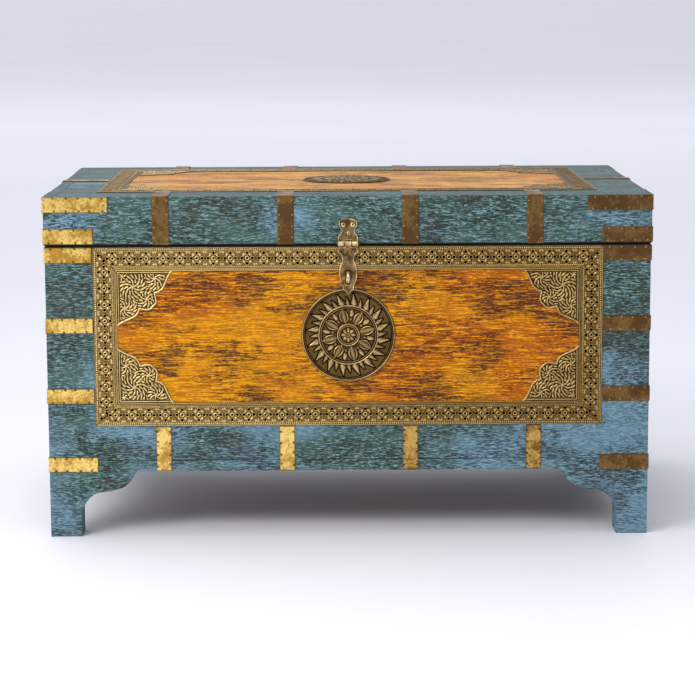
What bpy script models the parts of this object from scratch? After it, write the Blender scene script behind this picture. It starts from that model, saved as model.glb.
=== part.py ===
"""A painted wooden storage chest: a box on bracket feet, a shallow hinged lid and a hasp, bound with brass.

Metres, +Z up. The origin is on the floor at the middle of the box, +X to the right, +Y to the back.
"""

import math

import bmesh
import bpy
from mathutils import Matrix, Vector

# Box and lid, in plan and in height
BOX_WIDTH = 0.808
BOX_DEPTH = 0.506
LID_OVERHANG = 0.001
HEIGHT = 0.4611
LID_BOTTOM = 0.396
BOX_TOP = 0.395
BOARD = 0.016
TOP_BOARD = 0.014
FLOOR_UNDERSIDE = 0.0925
FLOOR_BOARD = 0.012
FIT = 0.0003
EASED = 0.0012
OVERSHOOT = 0.01

# Bracket feet: insets from the box's side, and heights
APRON = 0.0895
FOOT_WIDTH = 0.042
FOOT_STRAIGHT = 0.024
COVE_WIDTH = 0.030
COVE_HEIGHT = 0.037
SHELF_END = (0.097, 0.0665)
OGEE_END = 0.118

# Inlaid panels and the embossed border round each
PANEL_THICKNESS = 0.004
PANEL_INSET = 0.002
SHEET = 0.001
BORDER_WIDTH = 0.032
FRONT_BORDER_SIZE = (0.681, 0.242)
FRONT_BORDER_CENTRE_Z = 0.2727
TOP_MARGIN = 0.066
MEDALLION_RADIUS = 0.0627
MEDALLION_THICKNESS = 0.0022
FRONT_MEDALLION_Z = 0.2744

# Spandrel: leg along each inner edge of the border, and its scalloped outline
SPANDREL_LEG = 0.075
SPANDREL_SHOULDER = (0.062, 0.023)
SPANDREL_CUSP = (0.051, 0.030)
SPANDREL_LOBE = 0.049

# Brass bands round the corners, and straps
BAND_HEIGHT = 0.0205
LID_TOP_BAND_LENGTH = 0.086
FREE_BAND_LENGTH = 0.066
BAND_BOTTOMS = (0.3729, 0.2783, 0.1825, 0.0890)
LID_BAND_BOTTOMS = (0.4404, 0.3980)
STRAP_X = (-0.249, -0.083, 0.083, 0.249)
LID_STRAP_WIDTH = 0.022
BOX_STRAP_WIDTH = 0.0204
STRAP_GAP = 0.0008

# Hinges at the back
HINGE_X = (-0.166, 0.166)
HINGE_WIDTH = 0.050
HINGE_MIDDLE = 0.018
HINGE_LEAF_LENGTH = 0.045
HINGE_LEAF = 0.002
KNUCKLE_RADIUS = 0.0042
PIN_RADIUS = 0.0022
PIN_CLEARANCE = 0.0003

# Hasp on the front
HASP_PIN_Z = 0.3975
HASP_MIDDLE = 0.0090
HASP_HALF_WIDTH = 0.0133
HASP_SHEET = 0.0015
LEAF_SHEET = 0.0020
SLOT_HALF_WIDTH = 0.0028
SLOT_BOTTOM = 0.0538
SLOT_TOP = 0.0357
STAPLE_WIRE = 0.0017
STAPLE_BEND = 0.0065
STAPLE_REACH = 0.0080
STAPLE_FOOT = (0.0065, 0.0085)
PIN_END = 0.0015
EAR_GAP = 0.0005

BOX_FRONT = -BOX_DEPTH / 2
LID_WIDTH = BOX_WIDTH + 2 * LID_OVERHANG
LID_DEPTH = BOX_DEPTH + 2 * LID_OVERHANG
LID_FRONT = -LID_DEPTH / 2
LID_BACK = LID_DEPTH / 2
KNUCKLE_OUT = KNUCKLE_RADIUS + FIT
HINGE_PIN_Z = (LID_BOTTOM + BOX_TOP) / 2
HINGE_PIN_Y = LID_BACK + KNUCKLE_OUT
HASP_PIN_Y = LID_FRONT - KNUCKLE_OUT
TOP_BORDER_SIZE = (LID_WIDTH - 2 * TOP_MARGIN, LID_DEPTH - 2 * TOP_MARGIN)
# A band beside the front border stops just short of it
BAND_LENGTH = (BOX_WIDTH - FRONT_BORDER_SIZE[0]) / 2 - STRAP_GAP
BAND_LENGTHS = (BAND_LENGTH, BAND_LENGTH, BAND_LENGTH, FREE_BAND_LENGTH)

for old in list(bpy.data.objects):
    bpy.data.objects.remove(old, do_unlink=True)


def material(name, colour, roughness, metallic=0.0):
    made = bpy.data.materials.new(name)
    made.use_nodes = True
    made.diffuse_color = (*colour, 1.0)
    shader = made.node_tree.nodes["Principled BSDF"]
    shader.inputs["Base Color"].default_value = (*colour, 1.0)
    shader.inputs["Roughness"].default_value = roughness
    shader.inputs["Metallic"].default_value = metallic
    return made


BLUE_PAINT = material("blue_paint", (0.10, 0.19, 0.21), 0.55)
ORANGE_PAINT = material("orange_paint", (0.52, 0.21, 0.015), 0.5)
BARE_WOOD = material("bare_wood", (0.24, 0.13, 0.06), 0.7)
BRIGHT_BRASS = material("bright_brass", (0.55, 0.36, 0.11), 0.35, 1.0)
EMBOSSED_BRASS = material("embossed_brass", (0.33, 0.23, 0.10), 0.45, 1.0)
ANTIQUE_BRASS = material("antique_brass", (0.20, 0.13, 0.055), 0.4, 1.0)


def add(name, shape, finish, parent=None, smooth=False):
    """Turn a bmesh, in world coordinates, into a named object, with its origin on its parent's axis."""
    bmesh.ops.recalc_face_normals(shape, faces=shape.faces)
    mesh = bpy.data.meshes.new(name)
    shape.to_mesh(mesh)
    shape.free()
    if smooth:
        mesh.shade_smooth()
        mesh.set_sharp_from_angle(angle=math.radians(35))
    mesh.materials.append(finish)
    made = bpy.data.objects.new(name, mesh)
    bpy.context.collection.objects.link(made)
    if parent is not None:
        mesh.transform(Matrix.Translation(-parent_place(parent)))
        made.parent = parent
    return made


def parent_place(parent):
    place = parent.location.copy()
    while parent.parent is not None:
        parent = parent.parent
        place += parent.location
    return place


def pivot(name, place, parent=None):
    made = bpy.data.objects.new(name, None)
    made.empty_display_size = 0.03
    made.location = Vector(place) - (parent_place(parent) if parent else Vector())
    made.parent = parent
    bpy.context.collection.objects.link(made)
    return made


def block(low, high):
    """A box between two corners."""
    shape = bmesh.new()
    low, high = Vector(low), Vector(high)
    bmesh.ops.create_cube(shape, size=1.0)
    bmesh.ops.scale(shape, vec=high - low, verts=shape.verts)
    bmesh.ops.translate(shape, vec=(low + high) / 2, verts=shape.verts)
    return shape


def extruded(outline, depth, to_world, holes=()):
    """A flat plate: an outline of (u, v) points with holes, extruded by depth along w. to_world places (u, v, w)."""
    shape = bmesh.new()
    edges = []
    for ring in (outline, *holes):
        verts = [shape.verts.new((u, v, 0.0)) for u, v in ring]
        edges += [shape.edges.new((a, b)) for a, b in zip(verts, verts[1:] + verts[:1])]
    bmesh.ops.triangle_fill(shape, use_beauty=True, use_dissolve=False, edges=edges)
    grown = bmesh.ops.extrude_face_region(shape, geom=list(shape.faces))
    moved = [item for item in grown["geom"] if isinstance(item, bmesh.types.BMVert)]
    bmesh.ops.translate(shape, vec=(0.0, 0.0, depth), verts=moved)
    bmesh.ops.transform(shape, matrix=to_world, verts=shape.verts)
    return shape


def upright(x, y, z, facing):
    """Places (u, v, w) with u along X, v up and w outwards: facing is -1 at the front and 1 at the back."""
    return Matrix(((1, 0, 0, x), (0, 0, facing, y), (0, 1, 0, z), (0, 0, 0, 1)))


def lying(x, y, z):
    """Places (u, v, w) with u along X, v along Y and w up."""
    return Matrix.Translation((x, y, z))


def sideways(x, z, facing):
    """Places (u, v, w) with u along Y, v up and w outwards: facing is -1 at the left and 1 at the right."""
    return Matrix(((0, 0, facing, x), (1, 0, 0, 0), (0, 1, 0, z), (0, 0, 0, 1)))


def arc(centre, radii, start, end, steps):
    """Points on an ellipse's arc, angles in degrees."""
    angles = [math.radians(start + (end - start) * i / steps) for i in range(steps + 1)]
    return [(centre[0] + radii[0] * math.cos(a), centre[1] + radii[1] * math.sin(a)) for a in angles]


def bezier(a, b, c, d, steps):
    """Points on a cubic curve after its first."""
    points = []
    for i in range(1, steps + 1):
        t = i / steps
        weights = ((1 - t) ** 3, 3 * t * (1 - t) ** 2, 3 * t * t * (1 - t), t**3)
        points.append(tuple(sum(w * p[k] for w, p in zip(weights, (a, b, c, d))) for k in (0, 1)))
    return points


def ease_edges(target, width=EASED, segments=2):
    bevel = target.modifiers.new("eased_edges", "BEVEL")
    bevel.width = width
    bevel.segments = segments
    bevel.limit_method = "ANGLE"
    bevel.angle_limit = math.radians(50)
    return target


def cut(target, cutter_name, shape):
    """Subtract a shape. The cutter stays in the file as a hidden guide."""
    cutter = add(cutter_name, shape, BARE_WOOD)
    cutter.hide_render = True
    cutter.display_type = "WIRE"
    boolean = target.modifiers.new(cutter_name, "BOOLEAN")
    boolean.operation = "DIFFERENCE"
    boolean.solver = "EXACT"
    boolean.object = cutter
    return target


def bracket_profile():
    """One foot's inner edge: (inset from the box's side, height), from the floor up to the apron."""
    cove_centre = (FOOT_WIDTH + COVE_WIDTH, FOOT_STRAIGHT)
    points = [(FOOT_WIDTH, 0.0)] + arc(cove_centre, (COVE_WIDTH, COVE_HEIGHT), 180, 90, 7)
    shelf_start = points[-1]
    points += bezier(shelf_start, (0.082, 0.0612), (0.090, 0.0650), SHELF_END, 3)
    points += bezier(SHELF_END, (0.104, 0.0685), (0.113, 0.0800), (OGEE_END, APRON), 5)
    return points


def arched_outline(half_length, board_end, top):
    """A board's face with the arch between its two feet. board_end is where the board itself stops."""
    foot = [(half_length - inset, height) for inset, height in bracket_profile()]
    right = [(board_end, 0.0), *foot]
    left = [(-u, v) for u, v in reversed(right)]
    return [*right, *left, (-board_end, top), (board_end, top)]


# ---- The box ----


def make_boards():
    half_width, half_depth = BOX_WIDTH / 2, BOX_DEPTH / 2
    long_face = arched_outline(half_width, half_width, BOX_TOP)
    short_face = arched_outline(half_depth, half_depth - BOARD - FIT, BOX_TOP)
    front_place = upright(0, BOX_FRONT + BOARD, 0, -1)
    front = add("front_board", extruded(long_face, BOARD, front_place), BLUE_PAINT)
    back = add("back_board", extruded(long_face, BOARD, upright(0, half_depth - BOARD, 0, 1)), BLUE_PAINT)
    for side, name in ((-1, "left_end_board"), (1, "right_end_board")):
        place = sideways(side * (half_width - BOARD), 0, side)
        ease_edges(add(name, extruded(short_face, BOARD, place), BLUE_PAINT))
    ease_edges(front)
    ease_edges(back)
    width, height = (size - 2 * FIT - 2 * PANEL_INSET for size in FRONT_BORDER_SIZE)
    recess = block(
        (-width / 2, BOX_FRONT - OVERSHOOT, FRONT_BORDER_CENTRE_Z - height / 2),
        (width / 2, BOX_FRONT + PANEL_THICKNESS + FIT, FRONT_BORDER_CENTRE_Z + height / 2),
    )
    cut(front, "front_recess", recess)


def make_floor_and_feet():
    inside_x = BOX_WIDTH / 2 - BOARD - FIT
    inside_y = BOX_DEPTH / 2 - BOARD - FIT
    top = FLOOR_UNDERSIDE + FLOOR_BOARD
    add("floor_board", block((-inside_x, -inside_y, FLOOR_UNDERSIDE), (inside_x, inside_y, top)), BARE_WOOD)
    size = FOOT_WIDTH - BOARD - FIT
    for x_side, x_name in ((-1, "left"), (1, "right")):
        for y_side, y_name in ((-1, "front"), (1, "back")):
            xs = sorted((x_side * inside_x, x_side * (inside_x - size)))
            ys = sorted((y_side * inside_y, y_side * (inside_y - size)))
            shape = block((xs[0], ys[0], 0.0), (xs[1], ys[1], FLOOR_UNDERSIDE - FIT))
            ease_edges(add(f"foot_block_{y_name}_{x_name}", shape, BLUE_PAINT), EASED, 1)


# ---- Panels, borders and medallions, on the front and on the lid ----


def spandrel_outline():
    """(u, v) from the border's inner corner, from the end of one leg to the end of the other."""
    lobe_middle = SPANDREL_LOBE * 0.98
    half = bezier((SPANDREL_LEG, 0.0), (0.069, 0.004), (0.066, 0.016), SPANDREL_SHOULDER, 4)
    half += bezier(SPANDREL_SHOULDER, (0.059, 0.027), (0.055, 0.029), SPANDREL_CUSP, 2)
    half += bezier(SPANDREL_CUSP, (0.0535, 0.037), (0.054, 0.045), (lobe_middle, lobe_middle), 4)
    mirrored = [(v, u) for u, v in reversed(half[:-1])]
    return [(SPANDREL_LEG, 0.0), *half, *mirrored, (0.0, SPANDREL_LEG)]


def border_shape(size, to_world):
    """A flat frame whose inner corners carry spandrels."""
    outer_u, outer_v = size[0] / 2, size[1] / 2
    inner_u, inner_v = outer_u - BORDER_WIDTH, outer_v - BORDER_WIDTH
    hole = []
    for u_side, v_side in ((1, 1), (-1, 1), (-1, -1), (1, -1)):
        corner = [(u_side * (inner_u - u), v_side * (inner_v - v)) for u, v in spandrel_outline()]
        hole += corner if u_side * v_side < 0 else corner[::-1]
    outline = [(outer_u, outer_v), (-outer_u, outer_v), (-outer_u, -outer_v), (outer_u, -outer_v)]
    return extruded(outline, SHEET, to_world, [hole])


def medallion_shape(to_world):
    """A stepped disc with a raised rim, two raised rings and a low boss, turned round w."""
    rise = MEDALLION_THICKNESS
    radius = MEDALLION_RADIUS
    low = rise * 0.45
    profile = [(0.0, rise), (0.004, rise), (0.006, low)]
    for ring, half in ((0.0145, 0.001), (0.0397, 0.001)):
        profile += [(ring - 2 * half, low), (ring - half, rise), (ring + half, rise), (ring + 2 * half, low)]
    profile += [(radius - 0.004, low), (radius - 0.003, rise), (radius - 0.001, rise), (radius, low), (radius, 0.0)]
    shape = bmesh.new()
    verts = [shape.verts.new((r, 0.0, w)) for r, w in profile]
    verts.append(shape.verts.new((0.0, 0.0, 0.0)))
    edges = [shape.edges.new(pair) for pair in zip(verts, verts[1:])]
    turned = verts + edges
    bmesh.ops.spin(shape, geom=turned, axis=(0, 0, 1), cent=(0, 0, 0), angle=math.tau, steps=48)
    bmesh.ops.remove_doubles(shape, verts=shape.verts, dist=1e-6)
    bmesh.ops.transform(shape, matrix=to_world, verts=shape.verts)
    return shape


def make_front_ornament():
    width, height = (size / 2 - 2 * FIT - PANEL_INSET for size in FRONT_BORDER_SIZE)
    panel = block(
        (-width, BOX_FRONT, FRONT_BORDER_CENTRE_Z - height),
        (width, BOX_FRONT + PANEL_THICKNESS, FRONT_BORDER_CENTRE_Z + height),
    )
    add("front_panel", panel, ORANGE_PAINT)
    place = upright(0, BOX_FRONT - FIT, FRONT_BORDER_CENTRE_Z, -1)
    add("front_border", border_shape(FRONT_BORDER_SIZE, place), EMBOSSED_BRASS)
    place = upright(0, BOX_FRONT - FIT, FRONT_MEDALLION_Z, -1)
    add("front_medallion", medallion_shape(place), ANTIQUE_BRASS, smooth=True)


def make_top_ornament(lid):
    width, depth = (size / 2 - 2 * FIT - PANEL_INSET for size in TOP_BORDER_SIZE)
    panel = block((-width, -depth, HEIGHT - PANEL_THICKNESS), (width, depth, HEIGHT))
    add("top_panel", panel, ORANGE_PAINT, lid)
    place = lying(0, 0, HEIGHT + FIT)
    add("top_border", border_shape(TOP_BORDER_SIZE, place), EMBOSSED_BRASS, lid)
    add("top_medallion", medallion_shape(place), ANTIQUE_BRASS, lid, smooth=True)


# ---- Brass bands and straps ----


def angle_strip(points, width, along, place):
    """A folded strip: a path of (a, b) points thickened outwards by SHEET, and width wide along one axis.

    along is "x" for a strap folded over an edge (a is y, b is z), "y" for one over an end (a is x, b is z),
    and "z" for a band round a corner (a is x, b is y). place is the strip's low end on that axis.
    """
    outline = list(points[0]) + list(reversed(points[1]))
    axes = {
        "x": Matrix(((0, 0, 1, place), (1, 0, 0, 0), (0, 1, 0, 0), (0, 0, 0, 1))),
        "y": Matrix(((1, 0, 0, 0), (0, 0, 1, place), (0, 1, 0, 0), (0, 0, 0, 1))),
        "z": Matrix(((1, 0, 0, 0), (0, 1, 0, 0), (0, 0, 1, place), (0, 0, 0, 1))),
    }
    return extruded(outline, width, axes[along])


def corner_path(corner, legs, out):
    """Inner and outer edges of a right-angled strip round a corner, legs long on each side of it.

    corner is the arris, out is (+-1, +-1) pointing away from the piece inside.
    """
    near = (corner[0] + out[0] * FIT, corner[1] + out[1] * FIT)
    far = (near[0] + out[0] * SHEET, near[1] + out[1] * SHEET)
    first = corner[0] - out[0] * legs[0]
    second = corner[1] - out[1] * legs[1]
    inner = [(first, near[1]), near, (near[0], second)]
    outer = [(first, far[1]), far, (far[0], second)]
    return inner, outer


def make_corner_bands(lid):
    for side, name in ((-1, "left"), (1, "right")):
        corner = (side * BOX_WIDTH / 2, BOX_FRONT)
        for row, (bottom, length) in enumerate(zip(BAND_BOTTOMS, BAND_LENGTHS), start=1):
            path = corner_path(corner, (length, length), (side, -1))
            add(f"box_band_{name}_{row}", angle_strip(path, BAND_HEIGHT, "z", bottom), BRIGHT_BRASS)
        corner = (side * LID_WIDTH / 2, LID_FRONT)
        lengths = (LID_TOP_BAND_LENGTH, FREE_BAND_LENGTH)
        for row, (bottom, length) in enumerate(zip(LID_BAND_BOTTOMS, lengths), start=1):
            path = corner_path(corner, (length, length), (side, -1))
            add(f"lid_band_{name}_{row}", angle_strip(path, BAND_HEIGHT, "z", bottom), BRIGHT_BRASS, lid)


def make_straps(lid):
    drop = HEIGHT - LID_BOTTOM - STRAP_GAP
    reach = TOP_MARGIN - STRAP_GAP
    strap_top = FRONT_BORDER_CENTRE_Z - FRONT_BORDER_SIZE[1] / 2 - STRAP_GAP
    strap_bottom = APRON + STRAP_GAP
    for number, x in enumerate(STRAP_X, start=1):
        for facing, name in ((-1, "front"), (1, "back")):
            path = corner_path((facing * LID_BACK, HEIGHT), (reach, drop), (facing, 1))
            shape = angle_strip(path, LID_STRAP_WIDTH, "x", x - LID_STRAP_WIDTH / 2)
            add(f"lid_{name}_strap_{number}", shape, BRIGHT_BRASS, lid)
        low = (x - BOX_STRAP_WIDTH / 2, BOX_FRONT - FIT - SHEET, strap_bottom)
        high = (x + BOX_STRAP_WIDTH / 2, BOX_FRONT - FIT, strap_top)
        add(f"box_front_strap_{number}", block(low, high), BRIGHT_BRASS)
    for side, name in ((-1, "left"), (1, "right")):
        path = corner_path((side * LID_WIDTH / 2, HEIGHT), (reach, drop), (side, 1))
        shape = angle_strip(path, LID_STRAP_WIDTH, "y", -LID_STRAP_WIDTH / 2)
        add(f"lid_{name}_end_strap", shape, BRIGHT_BRASS, lid)
        inner = side * (BOX_WIDTH / 2 + FIT)
        xs = sorted((inner, inner + side * SHEET))
        low = (xs[0], -BOX_STRAP_WIDTH / 2, strap_bottom)
        high = (xs[1], BOX_STRAP_WIDTH / 2, BOX_TOP - STRAP_GAP)
        add(f"box_{name}_end_strap", block(low, high), BRIGHT_BRASS)


# ---- The lid ----


def make_lid(lid):
    half_width, half_depth = LID_WIDTH / 2, LID_DEPTH / 2
    for facing, name in ((-1, "front"), (1, "back")):
        ys = sorted((facing * half_depth, facing * (half_depth - BOARD)))
        shape = block((-half_width, ys[0], LID_BOTTOM), (half_width, ys[1], HEIGHT))
        ease_edges(add(f"lid_{name}_rail", shape, BLUE_PAINT, lid))
    inside_y = half_depth - BOARD - FIT
    for side, name in ((-1, "left"), (1, "right")):
        xs = sorted((side * half_width, side * (half_width - BOARD)))
        shape = block((xs[0], -inside_y, LID_BOTTOM), (xs[1], inside_y, HEIGHT))
        ease_edges(add(f"lid_{name}_rail", shape, BLUE_PAINT, lid))
    inside_x = half_width - BOARD - FIT
    shape = block((-inside_x, -inside_y, HEIGHT - TOP_BOARD), (inside_x, inside_y, HEIGHT))
    board = add("lid_top_board", shape, BLUE_PAINT, lid)
    width, depth = (size / 2 - FIT - PANEL_INSET for size in TOP_BORDER_SIZE)
    recess = block((-width, -depth, HEIGHT - PANEL_THICKNESS - FIT), (width, depth, HEIGHT + OVERSHOOT))
    cut(board, "top_recess", recess)


# ---- Hinges ----


def tube(low_x, high_x, y, z, radius, bore):
    """A knuckle: a pipe along X."""
    sides = 24
    ring = arc((y, z), (radius, radius), 0, 360 - 360 / sides, sides - 1)
    hole = arc((y, z), (bore, bore), 0, 360 - 360 / sides, sides - 1)
    along_x = Matrix(((0, 0, 1, low_x), (1, 0, 0, 0), (0, 1, 0, 0), (0, 0, 0, 1)))
    return extruded(ring, high_x - low_x, along_x, [hole])


def rod(low_x, high_x, y, z, radius):
    sides = 20
    ring = arc((y, z), (radius, radius), 0, 360 - 360 / sides, sides - 1)
    along_x = Matrix(((0, 0, 1, low_x), (1, 0, 0, 0), (0, 1, 0, 0), (0, 0, 0, 1)))
    return extruded(ring, high_x - low_x, along_x)


def join(target, other_name, shape):
    """Weld a shape onto target with a Boolean union."""
    other = add(other_name, shape, BARE_WOOD)
    other.hide_render = True
    other.display_type = "WIRE"
    boolean = target.modifiers.new(other_name, "BOOLEAN")
    boolean.operation = "UNION"
    boolean.solver = "EXACT"
    boolean.object = other
    return target


def make_hinge(number, x, lid):
    half, middle = HINGE_WIDTH / 2, HINGE_MIDDLE / 2
    y, z = HINGE_PIN_Y, HINGE_PIN_Z
    bore = PIN_RADIUS + PIN_CLEARANCE
    clear = KNUCKLE_RADIUS + 2 * FIT
    box_back = BOX_DEPTH / 2 + FIT

    # The box's leaf: a plate with an ear up to each outer knuckle.
    inner = middle + EAR_GAP
    plate = [
        (half, z), (inner, z), (inner, z - clear), (-inner, z - clear),
        (-inner, z), (-half, z), (-half, z - HINGE_LEAF_LENGTH), (half, z - HINGE_LEAF_LENGTH),
    ]
    leaf = add(f"hinge_{number}_box_leaf", extruded(plate, HINGE_LEAF, upright(x, box_back, 0, 1)), ANTIQUE_BRASS)
    for side, name in ((-1, "a"), (1, "b")):
        ends = sorted((x + side * inner, x + side * half))
        join(leaf, f"hinge_{number}_knuckle_{name}", tube(*ends, y, z, KNUCKLE_RADIUS, bore))

    # The lid's leaf: a plate with one ear down to the middle knuckle.
    low = z + clear
    plate = [
        (half, low), (half, z + HINGE_LEAF_LENGTH), (-half, z + HINGE_LEAF_LENGTH), (-half, low),
        (-middle, low), (-middle, z), (middle, z), (middle, low),
    ]
    lid_back = LID_BACK + FIT
    shape = extruded(plate, HINGE_LEAF, upright(x, lid_back, 0, 1))
    leaf = add(f"hinge_{number}_lid_leaf", shape, ANTIQUE_BRASS, lid)
    join(leaf, f"hinge_{number}_knuckle_c", tube(x - middle, x + middle, y, z, KNUCKLE_RADIUS, bore))

    pin = rod(x - half - PIN_END, x + half + PIN_END, y, z, PIN_RADIUS)
    add(f"hinge_{number}_pin", pin, ANTIQUE_BRASS, smooth=True)


# ---- The hasp ----


def make_hasp(lid, swing):
    y, z = HASP_PIN_Y, HASP_PIN_Z
    half, middle = HASP_HALF_WIDTH, HASP_MIDDLE / 2
    bore = PIN_RADIUS + PIN_CLEARANCE
    clear = KNUCKLE_RADIUS + 2 * FIT

    # The plate on the lid: a domed top, a waist, then two ears to the outer knuckles.
    right = [(0.0, 0.0337)] + bezier((0.0, 0.0337), (0.0066, 0.0337), (0.0122, 0.0312), (0.0122, 0.0262), 6)
    right += bezier((0.0122, 0.0262), (0.0122, 0.0215), (0.0085, 0.0205), (0.0085, 0.0165), 4)
    right += bezier((0.0085, 0.0165), (0.0085, 0.0125), (0.0130, 0.0120), (half, 0.0070), 4)
    right += [(half, 0.0), (middle + EAR_GAP, 0.0), (middle + EAR_GAP, clear)]
    outline = right + [(-u, v) for u, v in reversed(right[1:])]
    place = upright(0, LID_FRONT - FIT, z, -1)
    plate = add("hasp_plate", extruded(outline, HASP_SHEET, place), ANTIQUE_BRASS, lid)
    for side, name in ((-1, "a"), (1, "b")):
        ends = sorted((side * (middle + EAR_GAP), side * half))
        join(plate, f"hasp_knuckle_{name}", tube(*ends, y, z, KNUCKLE_RADIUS, bore))
    pin = rod(-half - PIN_END, half + PIN_END, y, z, PIN_RADIUS)
    add("hasp_pin", pin, ANTIQUE_BRASS, lid, smooth=True)

    # The leaf: an ear from the middle knuckle, a square head, a waist, a wide eye and a pointed trefoil tip.
    right = [(middle, -bore - FIT), (middle, -clear), (0.0124, -clear), (0.0124, -0.0120)]
    right += bezier((0.0124, -0.0120), (0.0085, -0.0140), (0.0076, -0.0175), (0.0077, -0.0215), 4)
    right += bezier((0.0077, -0.0215), (0.0080, -0.0270), (0.0118, -0.0290), (0.0118, -0.0390), 4)
    right += bezier((0.0118, -0.0390), (0.0118, -0.0490), (0.0095, -0.0520), (0.0072, -0.0560), 5)
    right += arc((0.0040, -0.0592), (0.0034, 0.0034), 30, -80, 5)
    right += [(0.0, -0.0690)]
    outline = right + [(-u, v) for u, v in reversed(right[:-1])]
    slot_top = arc((0.0, -SLOT_TOP - SLOT_HALF_WIDTH), (SLOT_HALF_WIDTH,) * 2, 0, 180, 8)
    slot_bottom = arc((0.0, -SLOT_BOTTOM + SLOT_HALF_WIDTH), (SLOT_HALF_WIDTH,) * 2, 180, 360, 8)
    place = upright(0, y + LEAF_SHEET + FIT, z, -1)
    leaf = add("hasp_leaf", extruded(outline, LEAF_SHEET, place, [slot_top + slot_bottom]), ANTIQUE_BRASS, swing)
    join(leaf, "hasp_knuckle_c", tube(-middle, middle, y, z, KNUCKLE_RADIUS, bore))


def make_staple():
    """A bent wire loop, upright, whose foot plate lies on the panel behind the leaf."""
    z = HASP_PIN_Z - (SLOT_TOP + SLOT_BOTTOM) / 2
    face = BOX_FRONT - FIT
    bend_y = face - STAPLE_REACH
    path = [(face - 0.0002, z - STAPLE_BEND)]
    path += arc((bend_y, z), (STAPLE_BEND, STAPLE_BEND), 270, 90, 12)
    path += [(face - 0.0002, z + STAPLE_BEND)]
    shape = bmesh.new()
    sides = 12
    rings = []
    for i, (y, height) in enumerate(path):
        before, after = path[max(i - 1, 0)], path[min(i + 1, len(path) - 1)]
        heading = Vector((0, after[0] - before[0], after[1] - before[1])).normalized()
        across = heading.cross(Vector((1, 0, 0)))
        ring = []
        for k in range(sides):
            turn = math.tau * k / sides
            offset = Vector((1, 0, 0)) * math.cos(turn) + across * math.sin(turn)
            ring.append(shape.verts.new(Vector((0, y, height)) + offset * STAPLE_WIRE))
        rings.append(ring)
    for low, high in zip(rings, rings[1:]):
        for k in range(sides):
            shape.faces.new((low[k], low[(k + 1) % sides], high[(k + 1) % sides], high[k]))
    shape.faces.new(rings[0][::-1])
    shape.faces.new(rings[-1])
    staple = add("hasp_staple", shape, ANTIQUE_BRASS)
    foot = arc((0.0, 0.0), STAPLE_FOOT, 0, 345, 23)
    join(staple, "staple_foot", extruded(foot, SHEET, upright(0, face, z, -1)))


def main():
    lid_hinge = pivot("lid_hinge_axis", (0, HINGE_PIN_Y, HINGE_PIN_Z))
    hasp_hinge = pivot("hasp_hinge_axis", (0, HASP_PIN_Y, HASP_PIN_Z), lid_hinge)
    make_boards()
    make_floor_and_feet()
    make_front_ornament()
    make_lid(lid_hinge)
    make_top_ornament(lid_hinge)
    make_corner_bands(lid_hinge)
    make_straps(lid_hinge)
    for number, x in enumerate(HINGE_X, start=1):
        make_hinge(number, x, lid_hinge)
    make_hasp(lid_hinge, hasp_hinge)
    make_staple()


main()
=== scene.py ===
"""How a painted, brass-bound wooden chest looks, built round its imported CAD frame.

Metres, +Z up, the chest's front towards -Y. Relief is worked out in millimetres and placed in metres.
"""

import math

import bmesh
import bpy
import numpy as np
from mathutils import Matrix, Vector


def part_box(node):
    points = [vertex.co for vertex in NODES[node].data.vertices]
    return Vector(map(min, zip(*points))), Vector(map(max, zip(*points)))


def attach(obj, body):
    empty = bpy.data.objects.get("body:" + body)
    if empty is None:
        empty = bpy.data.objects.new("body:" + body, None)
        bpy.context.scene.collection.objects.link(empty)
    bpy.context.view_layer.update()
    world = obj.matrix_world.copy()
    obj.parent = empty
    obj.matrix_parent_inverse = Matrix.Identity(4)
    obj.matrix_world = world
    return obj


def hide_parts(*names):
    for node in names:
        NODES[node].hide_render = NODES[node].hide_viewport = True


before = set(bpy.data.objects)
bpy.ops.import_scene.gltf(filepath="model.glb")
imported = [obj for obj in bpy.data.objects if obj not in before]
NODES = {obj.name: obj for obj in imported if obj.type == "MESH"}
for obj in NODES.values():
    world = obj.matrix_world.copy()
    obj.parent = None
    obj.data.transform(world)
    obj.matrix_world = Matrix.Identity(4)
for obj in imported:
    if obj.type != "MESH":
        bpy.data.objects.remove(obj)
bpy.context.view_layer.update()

MM = 0.001

# Planes and places of the CAD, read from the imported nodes
FRONT_LOW, FRONT_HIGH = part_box("front_border")
TOP_LOW, TOP_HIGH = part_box("top_border")
FRONT_SHEET_Y = FRONT_HIGH.y
TOP_SHEET_Z = TOP_LOW.z
BOX_LOW, BOX_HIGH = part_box("front_board")
END_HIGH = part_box("right_end_board")[1]
BACK_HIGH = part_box("back_board")[1]
LID_LOW, LID_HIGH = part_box("lid_front_rail")
LID_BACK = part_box("lid_back_rail")[1].y

# Camera
CAMERA_PLACE = (-0.0244, -3.325, 0.7361)
CAMERA_PITCH, CAMERA_YAW, CAMERA_ROLL = 8.848, 0.507, -0.238
CAMERA_LENS = 120.17
CAMERA_SHIFT = (-0.0044, -0.0007)


def display(red, green, blue):
    """A display colour, 0 to 255, as a linear one."""
    scaled = [c / 255 for c in (red, green, blue)]
    return (*(c / 12.92 if c < 0.04045 else ((c + 0.055) / 1.055) ** 2.4 for c in scaled), 1.0)


# ---- Materials ----


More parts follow.
